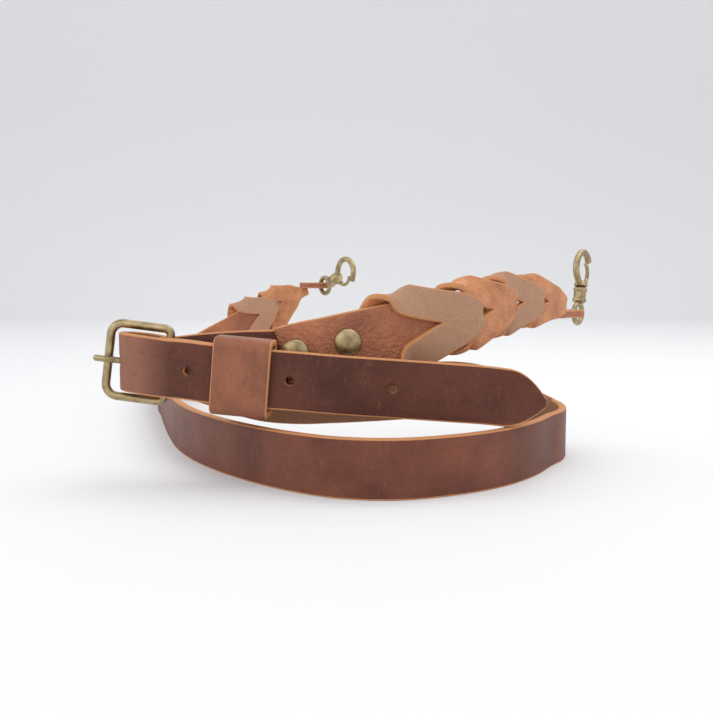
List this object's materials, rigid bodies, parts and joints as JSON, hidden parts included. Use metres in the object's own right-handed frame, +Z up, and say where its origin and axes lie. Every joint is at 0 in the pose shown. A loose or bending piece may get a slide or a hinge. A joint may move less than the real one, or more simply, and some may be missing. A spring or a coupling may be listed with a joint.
{
  "type": "leather camera strap",
  "caption": "Coiled leather strap with a punched end through a brass buckle and keeper, two slit-plaited ends, rivets and swivel snap hooks.",
  "frame": {"origin": "middle of the footprint, on the table that the strap stands on", "axes": "+Z up, -Y towards the buckle and keeper, +X towards the punched end's tip"},
  "size_m": [0.2256, 0.2678, 0.0852],
  "materials": {
    "brown_leather": "smooth pull-up grain with raw flesh side",
    "tan_leather": "smooth tan",
    "plait_leather": "pebbled grain, worn at the folds",
    "brass": "antique satin"
  },
  "bodies": {
    "strap": {"long_strap": "brown_leather", "buckle_strap": "brown_leather", "keeper": "tan_leather", "buckle_frame": "brass", "buckle_prong": "brass", "plait_right": "plait_leather", "plait_left": "plait_leather", "rivet_right_1": "brass", "rivet_right_2": "brass", "rivet_left_1": "brass", "rivet_left_2": "brass", "snap_right_eye": "brass", "snap_left_eye": "brass"},
    "right_hook": {"snap_right_hook": "brass"},
    "right_gate": {"snap_right_gate": "brass"},
    "left_hook": {"snap_left_hook": "brass"},
    "left_gate": {"snap_left_gate": "brass"}
  },
  "joints": [
    {"name": "right_swivel", "type": "hinge", "parent": "strap", "child": "right_hook", "pos_m": [0.10599, 0.00046, 0.06733], "axis": [0.125, 0.1662, 0.9781], "continuous": true},
    {"name": "right_gate_lever", "type": "hinge", "parent": "right_hook", "child": "right_gate", "pos_m": [0.10871, 0.00408, 0.06922], "axis": [0.7992, -0.6011, 0], "range_deg": [0, 25], "stiffness_Nm_per_rad": 0.002, "springref_deg": -17.19},
    {"name": "left_swivel", "type": "hinge", "parent": "strap", "child": "left_hook", "pos_m": [-0.01016, 0.08347, 0.07184], "axis": [0.5596, -0.7549, 0.342], "continuous": true},
    {"name": "left_gate_lever", "type": "hinge", "parent": "left_hook", "child": "left_gate", "pos_m": [-0.00778, 0.08025, 0.06901], "axis": [-0.8034, -0.5955, 0], "range_deg": [0, 25], "stiffness_Nm_per_rad": 0.002, "springref_deg": -17.19}
  ]
}
